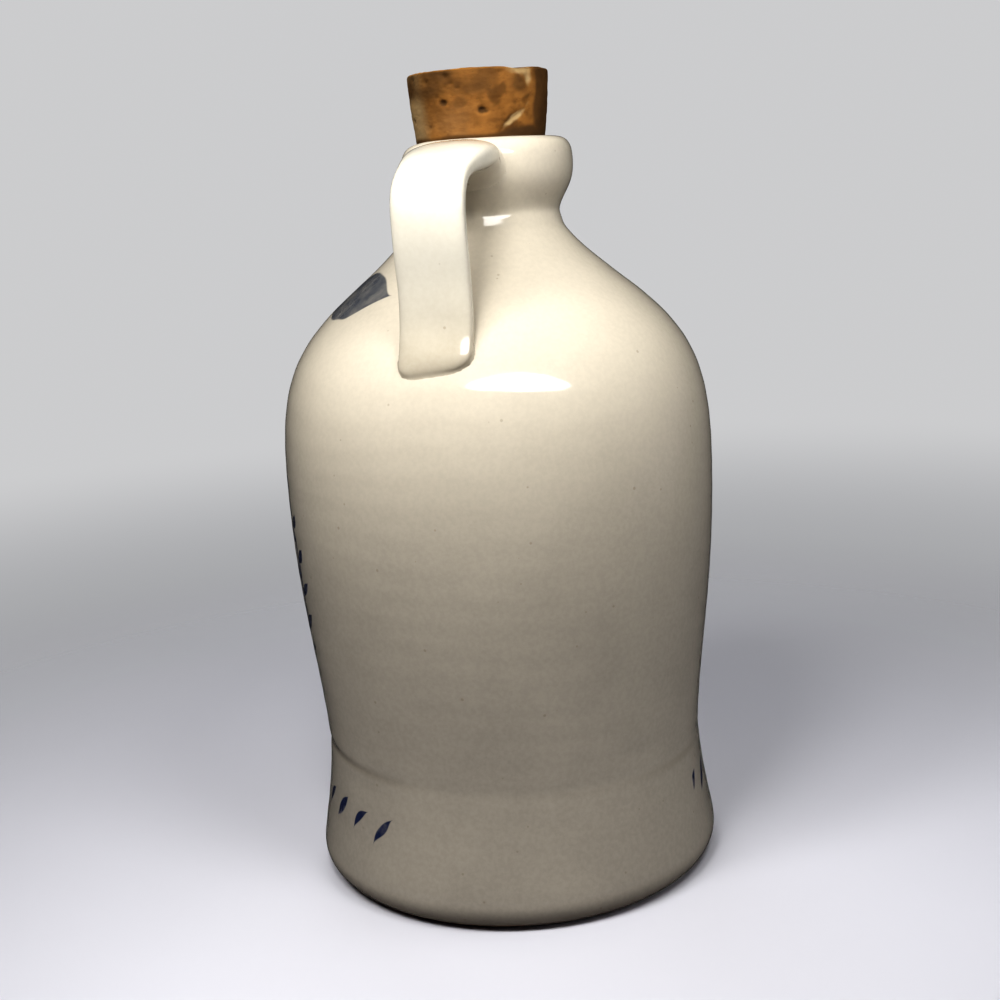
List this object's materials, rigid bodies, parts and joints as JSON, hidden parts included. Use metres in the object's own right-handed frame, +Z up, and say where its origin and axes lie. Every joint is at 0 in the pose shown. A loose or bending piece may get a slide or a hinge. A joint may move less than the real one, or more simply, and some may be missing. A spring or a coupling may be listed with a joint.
{
  "type": "stoneware jug",
  "caption": "Glazed stoneware jug with a flared foot, round shoulder, narrow rolled collar, flat pulled strap handle and a tapered cork that lifts out.",
  "frame": {"origin": "centre of the base, on the surface that the jug stands on", "axes": "+Z up along the axis of the jug, the handle on the -Y side, +X to the right of someone who faces the handle"},
  "size_m": [0.14, 0.14, 0.2586],
  "materials": {
    "body_glaze": "glossy cream glaze, bare dark clay at the foot",
    "handle_glaze": "glossy cream glaze",
    "cork": "matt natural cork with dark pits"
  },
  "bodies": {
    "jug": {"jug_body": "body_glaze", "strap_handle": "handle_glaze"},
    "cork": {"cork_stopper": "cork"}
  },
  "joints": [
    {"name": "cork_pull", "type": "slide", "parent": "jug", "child": "cork", "axis": [0, 0, 1], "range_m": [0, 0.06]}
  ]
}
